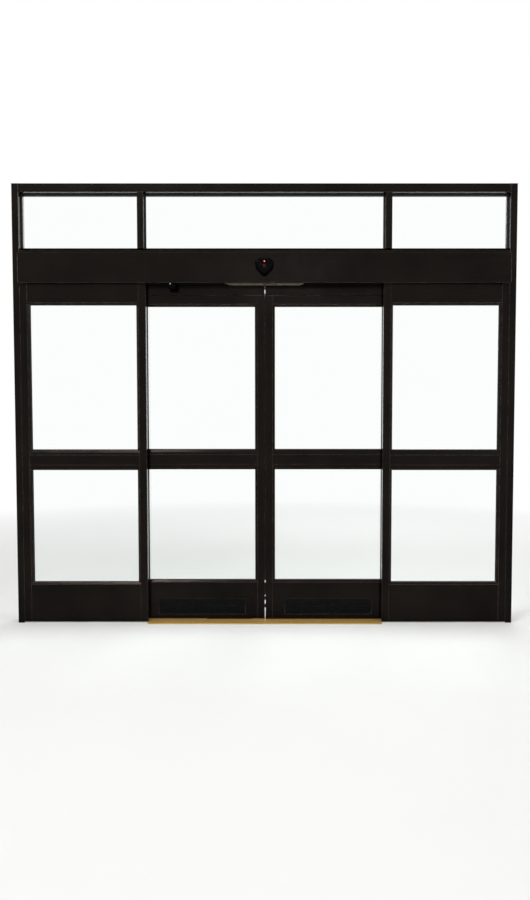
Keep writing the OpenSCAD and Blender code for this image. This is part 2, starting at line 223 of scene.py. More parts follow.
def anodised(name, stretch):
    """Near-black bronze anodising with fine die lines along the extrusion, pale edges that are partly wear
    and partly a painted highlight, and dust on top.
    """
    shades = ((0.0046, 0.0034, 0.0027, 1), (0.0084, 0.0060, 0.0048, 1))
    streak = (0.0165, 0.0124, 0.0098, 1)
    bare_metal_and_highlight = (0.27, 0.205, 0.155, 1)
    dust_grey = (0.21, 0.195, 0.175, 1)
    t = Tree(name)
    t.set(Metallic=0.8, Specular_IOR_Level=0.25)
    lines = t.noise(1.0, 4.0, stretch, 0.6)
    patches = t.noise(3.2, 3.0)
    smears = t.noise(9.0, 5.0, (1, 1, 0.35), 0.62)
    base = t.blended(t.ranged(patches, 0.35, 0.68, 0, 1), *shades)
    base = t.blended(t.ranged(lines, 0.52, 0.80, 0, 0.45), base, streak)
    # Pale edges: partly metal worn through the anodising, partly a painted highlight where the edges catch
    # the light
    worn = t.times(t.edges(0.0018), t.ranged(t.noise(38.0, 4.0), 0.38, 0.64, 0.30, 1))
    base = t.blended(worn, base, bare_metal_and_highlight)
    dust = t.times(t.upward(), t.ranged(t.noise(24.0, 5.0), 0.35, 0.75, 0.12, 0.42))
    t.colour(t.blended(dust, base, dust_grey))
    t.rough(t.plus(t.ranged(smears, 0.3, 0.7, 0.14, 0.24), t.times(dust, 0.9)))
    t.bump(lines, 0.10, 0.0003)
    return t.material


def glass(name):
    """Clear float glass: a trace of green, faint wiping marks and a little dust towards the floor."""
    tints = ((0.955, 0.982, 0.968, 1), (0.965, 0.985, 0.978, 1))
    shadow_tint = (0.86, 0.90, 0.88, 1)
    dust_from, dust_full = 0.9, 0.25
    t = Tree(name)
    t.set(IOR=1.47, Transmission_Weight=1.0, Specular_IOR_Level=0.5)
    t.colour(t.blended(t.ranged(t.noise(2.0, 2.0), 0.3, 0.7, 0, 1), *tints))
    marks = t.ranged(t.noise(5.0, 6.0, (1, 1, 0.45), 0.68), 0.56, 0.80, 0, 0.055)
    _, _, height = t.split(t.place)
    low = t.ranged(height, dust_from, dust_full, 0, 1)
    dust = t.times(low, t.ranged(t.noise(60.0, 3.0), 0.45, 0.75, 0, 0.05))
    t.rough(t.plus(marks, dust))
    clear = t.add("ShaderNodeBsdfTransparent")
    clear.inputs["Color"].default_value = shadow_tint
    t.overlay(t.add("ShaderNodeLightPath").outputs["Is Shadow Ray"], clear.outputs["BSDF"])
    return t.material


def gold_threshold(name):
    """Gold anodised tread: rubbed bright in the middle, dirty in the grooves, and with a painted shade on the
    strip under the leaves.
    """
    shades = ((0.80, 0.49, 0.125, 1), (0.88, 0.58, 0.185, 1))
    rubbed, grime_and_shade = (0.90, 0.70, 0.36, 1), (0.12, 0.080, 0.045, 1)
    to_middle, rib_field, groove_depth = 0.004, (0.074, 0.076), (0.0052, 0.0058)
    path_ends, leaf_front, leaf_back = (0.20, 0.72), (-0.004, 0.008), (0.056, 0.070)
    t = Tree(name)
    t.set(Metallic=0.55)
    grain = t.noise(1.0, 5.0, (2, 700, 700), 0.65)
    along, across, height = t.split(t.place)
    ribbed = t.ranged(t.math("ABSOLUTE", t.plus(across, to_middle)), *rib_field, 1, 0)
    groove = t.times(t.ranged(height, *groove_depth, 1, 0), ribbed)
    path = t.ranged(t.math("ABSOLUTE", along), *path_ends, 1, 0)
    base = t.blended(t.ranged(grain, 0.3, 0.7, 0, 1), *shades)
    trodden = t.times(path, t.ranged(t.noise(9.0, 5.0, (0.5, 1, 1), 0.6), 0.50, 0.80, 0, 0.4))
    base = t.blended(trodden, base, rubbed)
    packed = t.times(groove, t.ranged(t.noise(26.0, 4.0), 0.3, 0.7, 0.55, 0.92))
    # Painted shade: a darker band on the strip under the leaves, where they shadow the tread; the grooves'
    # darkening is dirt
    under = t.times(t.ranged(across, *leaf_front, 0, 1), t.ranged(across, *leaf_back, 1, 0))
    under_leaf_shade = t.times(under, t.ranged(t.noise(30.0, 4.0), 0.3, 0.7, 0.10, 0.45))
    dirt_and_shade = t.math("MAXIMUM", packed, under_leaf_shade)
    t.colour(t.blended(dirt_and_shade, base, grime_and_shade))
    t.rough(t.plus(t.ranged(grain, 0.3, 0.7, 0.22, 0.36), t.times(dirt_and_shade, 0.4)))
    t.bump(grain, 0.10, 0.0002)
    return t.material


def mill_aluminium(name):
    """Bare extruded aluminium, with die lines along X and grey smudges."""
    shades = ((0.52, 0.505, 0.475, 1), (0.66, 0.645, 0.61, 1))
    smudge_grey = (0.27, 0.25, 0.225, 1)
    t = Tree(name)
    t.set(Metallic=0.9)
    lines = t.noise(1.0, 4.0, (5, 380, 380), 0.62)
    smudge = t.noise(11.0, 5.0, (0.5, 1, 1), 0.6)
    base = t.blended(t.ranged(lines, 0.3, 0.7, 0, 1), *shades)
    t.colour(t.blended(t.ranged(smudge, 0.48, 0.75, 0, 0.6), base, smudge_grey))
    t.rough(t.ranged(smudge, 0.3, 0.75, 0.30, 0.52))
    t.bump(lines, 0.14, 0.0003)
    return t.material


def plastic(name, shades, roughness, fine=260.0, bump=0.05, shine=0.5):
    """Moulded plastic: two close shades, a fine moulding grain and a few duller patches."""
    t = Tree(name)
    t.set(Specular_IOR_Level=shine)
    patches = t.noise(22.0, 4.0)
    grain = t.noise(fine, 2.0)
    t.colour(t.blended(t.ranged(patches, 0.35, 0.7, 0, 1), *shades))
    t.rough(t.ranged(patches, 0.3, 0.75, *roughness))
    t.bump(grain, bump, 0.0002)
    return t.material


def steel(name, shades, mottling=30):
    """Plated steel with a mottled, slightly uneven plating."""
    t = Tree(name)
    t.set(Metallic=0.92)
    mottled = t.noise(1.0, 5.0, (mottling, mottling, mottling), 0.65)
    t.colour(t.blended(t.ranged(mottled, 0.32, 0.70, 0, 1), *shades))
    t.rough(t.ranged(mottled, 0.3, 0.75, 0.27, 0.46))
    t.bump(t.noise(160.0, 3.0), 0.10, 0.0003)
    return t.material


def kick_black(name):
    """Black coated plate: glossy, with fine scuffs along it and pale edges, partly worn to bare metal and
    partly a painted highlight, most at its foot.
    """
    shades = ((0.0012, 0.0013, 0.0017, 1), (0.0075, 0.0075, 0.0080, 1))
    bare_metal_and_highlight = (0.40, 0.40, 0.40, 1)
    wear_and_highlight_full, wear_and_highlight_least = 0.055, 0.105
    t = Tree(name)
    t.set(Specular_IOR_Level=0.07)
    scuffs = t.ranged(t.noise(1.0, 6.0, (9, 60, 90), 0.7), 0.52, 0.78, 0, 1)
    base = t.blended(t.times(scuffs, 0.5), *shades)
    _, _, height = t.split(t.place)
    # Pale edges, brightest at the foot: partly metal worn through the coating, partly a painted highlight
    # where the edges catch the light
    edge_wear_and_highlight = t.times(t.edges(0.0013), t.ranged(height, wear_and_highlight_full, wear_and_highlight_least, 1, 0.25))
    t.colour(t.blended(edge_wear_and_highlight, base, bare_metal_and_highlight))
    t.rough(t.ranged(scuffs, 0, 1, 0.13, 0.34))
    t.bump(scuffs, 0.06, 0.0002)
    return t.material


def satin_plate(name):
    """Warm satin metal, brushed along X, with a few greasy patches and a painted shadow line along its front
    edge.
    """
    shades = ((0.56, 0.47, 0.325, 1), (0.74, 0.64, 0.465, 1))
    grease, shadow_gap_colour = (0.20, 0.165, 0.13, 1), (0.004, 0.003, 0.003, 1)
    shadow_gap_ends = (-0.0815, -0.080)
    t = Tree(name)
    t.set(Metallic=0.75)
    brushed = t.noise(1.0, 4.0, (7, 300, 300), 0.6)
    greasy = t.noise(17.0, 4.0, (0.6, 1, 1))
    base = t.blended(t.ranged(brushed, 0.3, 0.7, 0, 1), *shades)
    base = t.blended(t.ranged(greasy, 0.50, 0.78, 0, 0.5), base, grease)
    _, across, _ = t.split(t.place)
    # Painted shadow: a black band along the front edge stands for the shadow gap under the header's lip
    t.colour(t.blended(t.ranged(across, *shadow_gap_ends, 1, 0), base, shadow_gap_colour))
    t.rough(t.ranged(greasy, 0.3, 0.75, 0.24, 0.42))
    t.bump(brushed, 0.10, 0.0003)
    return t.material


def rubber(name):
    """Black extruded rubber, dull, with chalky bloom in places."""
    shades = ((0.0075, 0.0072, 0.007, 1), (0.028, 0.027, 0.026, 1))
    t = Tree(name)
    t.set(Specular_IOR_Level=0.3)
    bloom = t.noise(16.0, 5.0)
    t.colour(t.blended(t.ranged(bloom, 0.45, 0.78, 0, 0.7), *shades))
    t.rough(t.ranged(bloom, 0.3, 0.7, 0.62, 0.80))
    t.bump(t.noise(320.0, 2.0), 0.12, 0.0003)
    return t.material


def pile(name):
    """Dark woven pile, darker still where its tufts are packed."""
    shades = ((0.005, 0.0046, 0.0043, 1), (0.016, 0.015, 0.014, 1))
    t = Tree(name)
    t.set(Specular_IOR_Level=0.1, Sheen_Weight=0.1, Sheen_Roughness=0.5)
    tufts = t.noise(700.0, 2.0)
    t.colour(t.blended(t.ranged(tufts, 0.35, 0.65, 0, 1), *shades))
    t.rough(t.ranged(tufts, 0.3, 0.7, 0.85, 0.95))
    t.bump(tufts, 0.5, 0.0006)
    return t.material


def lamp_red(name):
    """A lit indicator: glowing red plastic with brighter spots."""
    shades = ((0.55, 0.010, 0.008, 1), (0.75, 0.030, 0.015, 1))
    t = Tree(name)
    spots = t.noise(900.0, 1.0)
    t.colour(t.blended(spots, *shades))
    t.rough(t.ranged(spots, 0.3, 0.7, 0.12, 0.2))
    t.set(Emission_Color=(1.0, 0.10, 0.09, 1), Emission_Strength=4.5)
    return t.material


DIE_LINES_UPRIGHT, DIE_LINES_LEVEL = (240, 240, 3), (3, 240, 240)
SCREW_MOTTLING = 160
SENSOR_SHADES = ((0.0008, 0.0007, 0.0008, 1), (0.0018, 0.0016, 0.0016, 1))
WINDOW_SHADES = ((0.0030, 0.0010, 0.0012, 1), (0.0065, 0.0020, 0.0022, 1))
LENS_SHADES = ((0.006, 0.005, 0.006, 1), (0.012, 0.010, 0.011, 1))
NYLON_SHADES = ((0.70, 0.67, 0.58, 1), (0.80, 0.78, 0.70, 1))
BUTTON_SHADES = ((0.84, 0.83, 0.80, 1), (0.90, 0.89, 0.87, 1))
ZINC_SHADES = ((0.40, 0.41, 0.43, 1), (0.60, 0.60, 0.58, 1))
DARK_SCREW_SHADES = ((0.016, 0.014, 0.012, 1), (0.040, 0.034, 0.029, 1))
GOLD_SCREW_SHADES = ((0.42, 0.30, 0.12, 1), (0.62, 0.47, 0.22, 1))
MATERIALS = {
    "bronze_upright": anodised("bronze_upright", DIE_LINES_UPRIGHT),
    "bronze_level": anodised("bronze_level", DIE_LINES_LEVEL),
    "glass": glass("clear_glass"),
    "gold": gold_threshold("gold_threshold"),
    "aluminium": mill_aluminium("mill_aluminium"),
    "sensor": plastic("sensor_black", SENSOR_SHADES, (0.12, 0.22), 220.0, 0.02, 0.024),
    "window": plastic("sensor_window", WINDOW_SHADES, (0.04, 0.08), 90.0, 0.01, 0.03),
    "steel": steel("zinc_plate", ZINC_SHADES),
    "screw_dark": steel("screw_dark", DARK_SCREW_SHADES, SCREW_MOTTLING),
    "screw_gold": steel("screw_gold", GOLD_SCREW_SHADES, SCREW_MOTTLING),
    "nylon": plastic("nylon", NYLON_SHADES, (0.38, 0.55)),
    "kick": kick_black("kick_black"),
    "satin": satin_plate("satin_plate"),
    "lens": plastic("lens_grey", LENS_SHADES, (0.05, 0.10), 120.0, 0.01, 0.12),
    "white_plastic": plastic("white_plastic", BUTTON_SHADES, (0.25, 0.4)),
    "rubber": rubber("gasket_rubber"),
    "pile": pile("pile"),
    "lamp": lamp_red("indicator_lamp"),
}

SLOT_MATERIAL = {
    "glass": "glass",
    "gold_threshold": "gold",
    "mill_aluminium": "aluminium",
    "black_plastic": "sensor",
    "steel": "steel",
    "nylon": "nylon",
}
NODE_MATERIAL = {"left_leaf_kick_plate": "kick", "right_leaf_kick_plate": "kick", "underside_plate": "satin"}
LEVEL_WORDS = ("rail", "head", "sill")


def dress_nodes():
    """Gives every carried-over node its procedural material."""
    for row in frame["record"]["subparts"]:
        node = frame["nodes"][row["node"]]
        level = any(word in row["node"] for word in LEVEL_WORDS)
        key = SLOT_MATERIAL.get(row["material_slot"], "bronze_level" if level else "bronze_upright")
        key = NODE_MATERIAL.get(row["node"], key)
        node.data.materials.clear()
        node.data.materials.append(MATERIALS[key])


# Mesh helpers

def piece(name, bm, body, material, smooth_angle=None):
    """Turns a bmesh into a named piece that rides on a body."""
    bmesh.ops.recalc_face_normals(bm, faces=bm.faces)
    mesh = bpy.data.meshes.new(name)
    bm.to_mesh(mesh)
    bm.free()
    mesh.materials.append(MATERIALS[material])
    if smooth_angle is not None:
        mesh.polygons.foreach_set("use_smooth", [True] * len(mesh.polygons))
        mesh.set_sharp_from_angle(angle=math.radians(smooth_angle))
    thing = bpy.data.objects.new(name, mesh)
    bpy.context.scene.collection.objects.link(thing)
    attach(thing, body)


def rubber_trim(name, bm, body="frame"):
    piece(name, bm, body, "rubber", SOFT)


def inner_x(node):
    """Distance from the middle of the doorway to a node's nearer side."""
    return min(abs(corner.x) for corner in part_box(node))


def shifted(outline, a, b):
    return [(a + da, b + db) for da, db in outline]


def join(bm, a, b):
    """Quads between two rings of as many vertices."""
    for k in range(len(a)):
        j = (k + 1) % len(a)
        bm.faces.new((a[k], a[j], b[j], b[k]))


def fan(bm, ring, tip):
    """Triangles from a ring of vertices to one vertex."""
    for k in range(len(ring)):
        bm.faces.new((ring[k], ring[(k + 1) % len(ring)], tip))


def loft(bm, rings, closed=False):
    """Skins a list of point rings. Open ends are capped."""
    rows = [[bm.verts.new(p) for p in ring] for ring in rings]
    for a, b in zip(rows, rows[1:] + rows[:1] if closed else rows[1:]):
        join(bm, a, b)
    if not closed:
        bm.faces.new(rows[0])
        bm.faces.new(rows[-1][::-1])


def prism(bm, outline, axis, low, high):
    """A straight bar. outline holds pairs for the other two axes, in the order X, Y, Z."""
    def at(value):
        points = [list(pair) for pair in outline]
        for point in points:
            point.insert(axis, value)
        return points
    loft(bm, [at(low), at(high)])


def frame_ring(bm, rect, profile):
    """A mitred ring in an XZ rectangle. profile holds pairs of inset and Y."""
    x0, z0, x1, z1 = rect
    corners = ((x0, z0, 1, 1), (x1, z0, -1, 1), (x1, z1, -1, -1), (x0, z1, 1, -1))
    loft(bm, [[(x + sx * u, y, z + sz * u) for u, y in profile] for x, z, sx, sz in corners], closed=True)


def block(bm, lo, hi, bevel):
    """A box with rounded edges."""
    made = bmesh.ops.create_cube(bm, size=1.0)["verts"]
    for v in made:
        for k in range(3):
            v.co[k] = lo[k] if v.co[k] < 0 else hi[k]
    edges = list({e for v in made for e in v.link_edges})
    bmesh.ops.bevel(bm, geom=edges, offset=bevel, segments=3, profile=0.5, affect="EDGES")


def axes_of(normal):
    """A normal of length 1 and two directions square to it."""
    n = Vector(normal).normalized()
    u = n.orthogonal().normalized()
    return n, u, n.cross(u)


def round_ring(bm, centre, axes, height, spread, steps, offset=0.0):
    """Vertices round an axis at a height. spread gives the radius at an angle."""
    n, u, v = axes
    points = []
    for k in range(steps):
        t = 2 * math.pi * (k + offset) / steps
        points.append(bm.verts.new(centre + n * height + (u * math.cos(t) + v * math.sin(t)) * spread(t)))
    return points


def turned_piece(name, centre, normal, material, outline, smooth_angle):
    """A lathed fitting on the frame. outline holds pairs of radius and height, from axis to axis."""
    steps = 32
    bm = bmesh.new()
    c, axes = Vector(centre), axes_of(normal)
    rings = []
    for radius, height in outline:
        if radius:
            rings.append(round_ring(bm, c, axes, height, lambda t: radius, steps))
        else:
            rings.append([bm.verts.new(c + axes[0] * height)])
    for a, b in zip(rings, rings[1:]):
        if len(a) == 1:
            fan(bm, b, a[0])
        elif len(b) == 1:
            fan(bm, a, b[0])
        else:
            join(bm, a, b)
    piece(name, bm, "frame", material, smooth_angle)


def cross_radius(angle, arm, half):
    """Radius of a plus-shaped recess at an angle, from its arms' length and half width."""
    tiny, far = 1e-9, 1e9
    c, s = abs(math.cos(angle)), abs(math.sin(angle))
    reach = []
    for along, over in ((c, s), (s, c)):
        reach.append(min(arm / along if along > tiny else far, half / over if over > tiny else far))
    return max(reach)


def screw_head(bm, centre, normal, radius, proud):
    """A low countersunk head with a crosswise recess, sunk a little under its seat."""
    steps, sunk, depth = 48, 0.0006, radius * 0.42
    arm, half = radius * 0.56, radius * 0.15
    c, axes = Vector(centre), axes_of(normal)

    def disc(share):
        return lambda t: radius * share

    def recess(share):
        return lambda t: cross_radius(t, arm * share, half * share)

    # Height and outline of each ring, from below the seat over the rim to the floor of the recess
    levels = (
        (-sunk, disc(0.98)),
        (proud * 0.45, disc(1.0)),
        (proud * 0.9, disc(0.90)),
        (proud, disc(0.74)),
        (proud, recess(1.0)),
        (proud - depth * 0.8, recess(0.72)),
        (proud - depth, recess(0.3)),
    )
    rings = [round_ring(bm, c, axes, height, spread, steps, 0.5) for height, spread in levels]
    for a, b in zip(rings, rings[1:]):
        join(bm, a, b)
    for rim, height in ((rings[0][::-1], -sunk), (rings[-1], proud - depth)):
        fan(bm, rim, bm.verts.new(c + axes[0] * height))


# A tuft's height, half width and half depth at its root, middle and tip, as shares of the strip's sizes
TUFT = ((0.0, 0.52, 0.50), (0.55, 0.50, 0.46), (1.0, 0.22, 0.20))
SQUARE = ((-1, -1), (1, -1), (1, 1), (-1, 1))


def bristles(bm, start, along, out, length, pitch, reach, seed):
    """A row of tapered tufts from start, running along one way and standing out another."""
    shortest, lean_along, lean_across = 0.90, 0.35, 0.12
    rng = random.Random(seed)
    a, o = Vector(along).normalized(), Vector(out).normalized()
    w = a.cross(o)
    s = Vector(start)
    for k in range(int(length / pitch)):
        base = s + a * (k + 0.5) * pitch
        tip_len = reach * rng.uniform(shortest, 1.0)
        lean = a * pitch * rng.uniform(-lean_along, lean_along)
        lean = lean + w * PILE_THICK * rng.uniform(-lean_across, lean_across)
        rings = []
        for height, wide, deep in TUFT:
            mid = base + o * tip_len * height + lean * height
            rings.append([mid + a * (i * pitch * wide) + w * (j * PILE_THICK * deep) for i, j in SQUARE])
        loft(bm, rings)


# Seals

def gasket_profile(glass_y, side, width, lip):
    """A wedge gasket on one face of the glass, from the stop's edge over the pane."""
    glass_face, toe, steps = 0.0032, side * 0.0010, 5
    toe_spread, bulge = 1.04, 0.8
    near, far = glass_y + side * glass_face, glass_y + side * lip
    profile = [(0.0, near), (width, near), (width * toe_spread, near + toe)]
    for k in range(1, steps):
        t = k / steps * math.pi / 2
        profile.append((width * math.cos(t) ** bulge, near + toe + (far - near - toe) * math.sin(t)))
    return profile + [(0.0, far)]


def panel_lites(panel):
    """Daylight rectangles of a panel's two lites and its glass plane, read from the nodes round them."""
    inner, outer = ("meeting_stile", "pivot_stile") if "leaf" in panel else ("interlock_stile", "jamb_stile")
    a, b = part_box(f"{panel}_{inner}"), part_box(f"{panel}_{outer}")
    left, right = (a, b) if a[0].x < b[0].x else (b, a)
    bottom, mid, top = (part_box(f"{panel}_{rail}") for rail in ("bottom_rail", "mid_rail", "top_rail"))
    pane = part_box(f"{panel}_glass")
    x0, x1 = left[1].x, right[0].x
    rects = ((x0, bottom[1].z, x1, mid[0].z), (x0, mid[1].z, x1, top[0].z))
    return rects, (pane[0].y + pane[1].y) / 2


def panel_gaskets():
    width, lip = 0.0046, 0.0112
    for _, name in SIDES:
        for panel, body in ((f"{name}_leaf", f"{name}_leaf"), (f"{name}_sidelight", "frame")):
            rects, y = panel_lites(panel)
            bm = bmesh.new()
            for rect in rects:
                for face in (-1, 1):
                    frame_ring(bm, rect, gasket_profile(y, face, width, lip))
            rubber_trim(f"{panel}_gaskets", bm, body)


# The pivot bead's outline: pairs of inset from the stile and distance from the glass plane
PIVOT_BEAD = ((-0.001, 0.0031), (0.0098, 0.0031), (0.0098, 0.0047), (0.0076, 0.0071), (-0.001, 0.0071))


def pivot_beads():
    """The wider rubber bead beside a leaf's pivot stile, which shows past the edge of the sidelight."""
    for side, name in SIDES:
        rects, y = panel_lites(f"{name}_leaf")
        bm = bmesh.new()
        for x0, z0, x1, z1 in rects:
            edge = x1 if side > 0 else x0
            for face in (-1, 1):
                outline = [(edge - side * inset, y + face * height) for inset, height in PIVOT_BEAD]
                prism(bm, outline, Z_AXIS, z0, z1)
        rubber_trim(f"{name}_leaf_pivot_beads", bm, f"{name}_leaf")


def transom_gaskets():
    width, lip = 0.0088, 0.0125
    low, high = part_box("transom_sill")[1].z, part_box("head")[0].z
    mullions = frame["nodes"]["mullions"]
    jamb_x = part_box("right_jamb")[0].x
    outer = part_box("mullions")[1].x
    inner = min(abs((mullions.matrix_world @ v.co).x) for v in mullions.data.vertices)
    bm = bmesh.new()
    for x0, x1 in ((-inner, inner), (outer, jamb_x), (-jamb_x, -outer)):
        for face in (-1, 1):
            frame_ring(bm, (x0, low, x1, high), gasket_profile(0, face, width, lip))
    rubber_trim("transom_gaskets", bm)


def meeting_seals():
    """A rubber nose between two pile strips on each meeting edge, torn off in places near its foot."""
    left_over = ((0.082, 0.106), (0.134, 0.159), (0.169, 0.253))
    reach, half, root, steps = 0.00299, 0.0055, 0.0004, 8
    pile_offset, pile_reach, pitch, top_gap = 0.0135, reach * 0.92, 0.0032, 0.004
    for side, name in SIDES:
        body, stile = f"{name}_leaf", f"{name}_leaf_meeting_stile"
        lo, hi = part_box(stile)
        edge, mid_y = side * inner_x(stile), (lo.y + hi.y) / 2
        rail_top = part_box(f"{name}_leaf_bottom_rail")[1].z
        nose = [(edge + side * root, mid_y - half), (edge + side * root, mid_y + half)]
        for k in range(1, steps):
            t = math.pi * k / steps
            nose.append((edge - side * reach * math.sin(t), mid_y + half * math.cos(t)))
        bm = bmesh.new()
        for low, high in ((rail_top, hi.z),) + left_over:
            prism(bm, nose, Z_AXIS, low, high)
        rubber_trim(f"{name}_leaf_meeting_nose", bm, body)
        bm = bmesh.new()
        length = hi.z - rail_top - top_gap
        for offset in (-pile_offset, pile_offset):
            start = (edge, mid_y + offset, rail_top)
            bristles(bm, start, UP, (-side, 0, 0), length, pitch, pile_reach, seed=11 + side)
        piece(f"{name}_leaf_meeting_pile", bm, body, "pile")


# The outline of an interlock stile's pile holder: pairs of X and distance from the stile's face
PILE_HOLDER = (
    (-0.0055, -SEATED), (0.0055, -SEATED), (0.0055, 0.004), (0.003, 0.005), (-0.003, 0.005), (-0.0055, 0.004),
)


def interlock_seals():
    """The pile strip on a sidelight's street face and its holder, which the leaf runs past."""
    from_edge, root, pitch = 0.022, 0.0045, 0.0036
    for side, name in SIDES:
        stile = f"{name}_sidelight_interlock_stile"
        leaf_lo, leaf_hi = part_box(f"{name}_leaf_pivot_stile")
        bottom, top = leaf_lo.z, leaf_hi.z
        plate_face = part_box(f"{name}_leaf_kick_plate")[0].y
        x, face = side * inner_x(stile) + side * from_edge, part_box(stile)[1].y
        bm = bmesh.new()
        prism(bm, shifted(PILE_HOLDER, x, face), Z_AXIS, bottom, top)
        piece(f"{name}_interlock_holder", bm, "frame", "bronze_upright")
        bm = bmesh.new()
        reach = plate_face - face - root - PILE_CLEAR
        bristles(bm, (x, face + root, bottom), UP, TO_STREET, top - bottom, pitch, reach, seed=31 + side)
        piece(f"{name}_interlock_pile", bm, "frame", "pile")


def slot_brush():
    """The brush on the room side of the header's slot and its holder, clear of the hanger rails behind it."""
    end_gap, above_lip, short_of_rail, pitch = 0.004, 0.0025, 0.0032, 0.0042
    root_out, root_up = 0.002, 0.003
    lo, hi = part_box("header_cover")
    half_len, front, z = hi.x - end_gap, hi.y, lo.z + above_lip
    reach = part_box("right_hanger_rail")[0].y - front - short_of_rail
    holder = ((-SEATED, -0.0015), (0.0022, -0.0015), (0.0022, 0.0085), (-SEATED, 0.0085))
    bm = bmesh.new()
    prism(bm, shifted(holder, front, z), X_AXIS, -half_len, half_len)
    piece("slot_brush_holder", bm, "frame", "rubber")
    bm = bmesh.new()
    start = (-half_len, front + root_out, z + root_up)
    bristles(bm, start, (1, 0, 0), TO_STREET, 2 * half_len, pitch, reach, seed=47)
    piece("slot_brush", bm, "frame", "pile")


def leaf_top_seals():
    """A soft strip that fills the gap between a leaf and its hanger rail, with a slightly waved crest."""
    steps, from_edge = 36, 0.002
    root, shoulder, crest, shoulder_rise = 0.0060, 0.0055, 0.0022, 0.0012
    least_gap, more_gap, wave, wave_radians = 0.00010, 0.00030, 0.35, 19
    for side, name in SIDES:
        lo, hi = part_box(f"{name}_leaf_top_rail")
        near = inner_x(f"{name}_leaf_meeting_stile") + from_edge
        far = inner_x(f"{name}_guide_pin") - PIN_CLEAR
        y, z = (lo.y + hi.y) / 2, hi.z
        rings = []
        for k in range(steps + 1):
            u = k / steps
            gap = least_gap + more_gap * (1 - u) ** 0.5 * (1 + wave * math.sin(wave_radians * u))
            top = z + HANGER_GAP - gap
            strip = (
                (-root, z - SEATED), (root, z - SEATED), (shoulder, z + shoulder_rise),
                (crest, top), (-crest, top), (-shoulder, z + shoulder_rise),
            )
            rings.append([(side * (near + (far - near) * u), y + dy, height) for dy, height in strip])
        bm = bmesh.new()
        loft(bm, rings)
        rubber_trim(f"{name}_leaf_top_seal", bm, f"{name}_leaf")


def hanger_bumpers():
    """Rubber pads on the top and the foot of each hanger rail's meeting end, with a thin web between them."""
    pad_reach, web_reach, pad_bevel, web_bevel = 0.0036, 0.0014, 0.001, 0.0004
    front_inset, back_inset = 0.006, 0.012
    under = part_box("header_cover")[0].z
    for side, name in SIDES:
        lo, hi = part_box(f"{name}_hanger_rail")
        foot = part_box(f"{name}_leaf_top_rail")[1].z + HANGER_GAP
        end = side * inner_x(f"{name}_hanger_rail")
        bm = bmesh.new()
        # Upper pad, lower pad and web: foot, top, reach past the rail's end, and bevel
        for low, high, reach, bevel in (
            (under - 0.026, under + 0.004, pad_reach, pad_bevel),
            (foot - 0.0043, foot + 0.010, pad_reach, pad_bevel),
            (foot + 0.009, under - 0.025, web_reach, web_bevel),
        ):
            x0, x1 = sorted((end + side * SEATED, end - side * reach))
            block(bm, (x0, lo.y + front_inset, low), (x1, hi.y - back_inset, high), bevel)
        piece(f"{name}_hanger_bumper", bm, f"{name}_carriage", "rubber", CRISP)


# A sweep's blade: pairs of Y and height from the bottom rail's underside
SWEEP_BLADE = (
    (-0.0022, SEATED), (0.0022, SEATED), (0.0015, -0.0022),
    (0.0007, -0.0052), (-0.0007, -0.0052), (-0.0015, -0.0022),
)


def bottom_sweeps():
    """Two rubber blades under each leaf, short of the guide pin. The left ones are worn away at both ends."""
    offset = 0.0185
    spans = {"left": (0.088, 0.400), "right": (0.002, None)}
    for side, name in SIDES:
        lo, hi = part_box(f"{name}_leaf_bottom_rail")
        from_edge, end = spans[name]
        near = inner_x(f"{name}_leaf_meeting_stile") + from_edge
        far = end or inner_x(f"{name}_guide_pin") - PIN_CLEAR
        x0, x1 = sorted((side * near, side * far))
        y = (lo.y + hi.y) / 2
        bm = bmesh.new()
        for middle in (y - offset, y + offset):
            prism(bm, shifted(SWEEP_BLADE, middle, lo.z), X_AXIS, x0, x1)
        rubber_trim(f"{name}_leaf_sweep", bm, f"{name}_leaf")


# Fittings

def threshold_screws():
    """Two rows of screws, along the room and the street edge of the threshold."""
    columns, from_end, from_edge, radius, proud = 6, 0.09, 0.026, 0.0055, 0.0007
    lo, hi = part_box("threshold")
    span = hi.x - from_end
    bm = bmesh.new()
    for k in range(columns):
        x = -span + 2 * span * k / (columns - 1)
        for y in (lo.y + from_edge, hi.y - from_edge):
            screw_head(bm, (x, y, hi.z), UP, radius, proud)
    piece("threshold_screws", bm, "frame", "screw_gold", CRISP)


def track_screws():
    """A row of screws along the middle of each floor track's land."""
    count, from_end, radius, proud = 4, 0.11, 0.0048, 0.0006
    for _, name in SIDES:
        lo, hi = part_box(f"{name}_floor_track")
        bm = bmesh.new()
        for k in range(count):
            x = lo.x + from_end + (hi.x - lo.x - 2 * from_end) * k / (count - 1)
            screw_head(bm, (x, 0.0, hi.z), UP, radius, proud)
        piece(f"{name}_track_screws", bm, "frame", "steel", CRISP)


# Lathed outlines: pairs of radius and height
DOME = (
    (0, 0.0008), (0.0105, 0.0008), (0.0105, 0.0024), (0.0097, 0.0035),
    (0.0077, 0.0046), (0.0044, 0.0053), (0, 0.0055),
)
LAMP_RING = ((0, -0.001), (0.0052, -0.001), (0.0052, 0.0009), (0.0044, 0.0015), (0.0035, 0.0013), (0, 0.0013))
LAMP = ((0, 0), (0.0033, 0), (0.0033, 0.0016), (0.0026, 0.0028), (0.0014, 0.0035), (0, 0.0038))
COLLAR = (
    (0, -0.001), (0.0050, -0.001), (0.0050, 0.0009), (0.0046, 0.0015),
    (0.0041, 0.0016), (0.0038, 0.0010), (0, 0.0010),
)
BUTTON = ((0, 0), (0.0036, 0), (0.0036, 0.0022), (0.0031, 0.0028), (0.0014, 0.0032), (0, 0.0033))
EYE = (
    (0, -0.0005), (0.0075, -0.0005), (0.0075, 0.0012), (0.0068, 0.0020),
    (0.0048, 0.0024), (0.0040, 0.0036), (0.0020, 0.0046), (0, 0.0049),
)


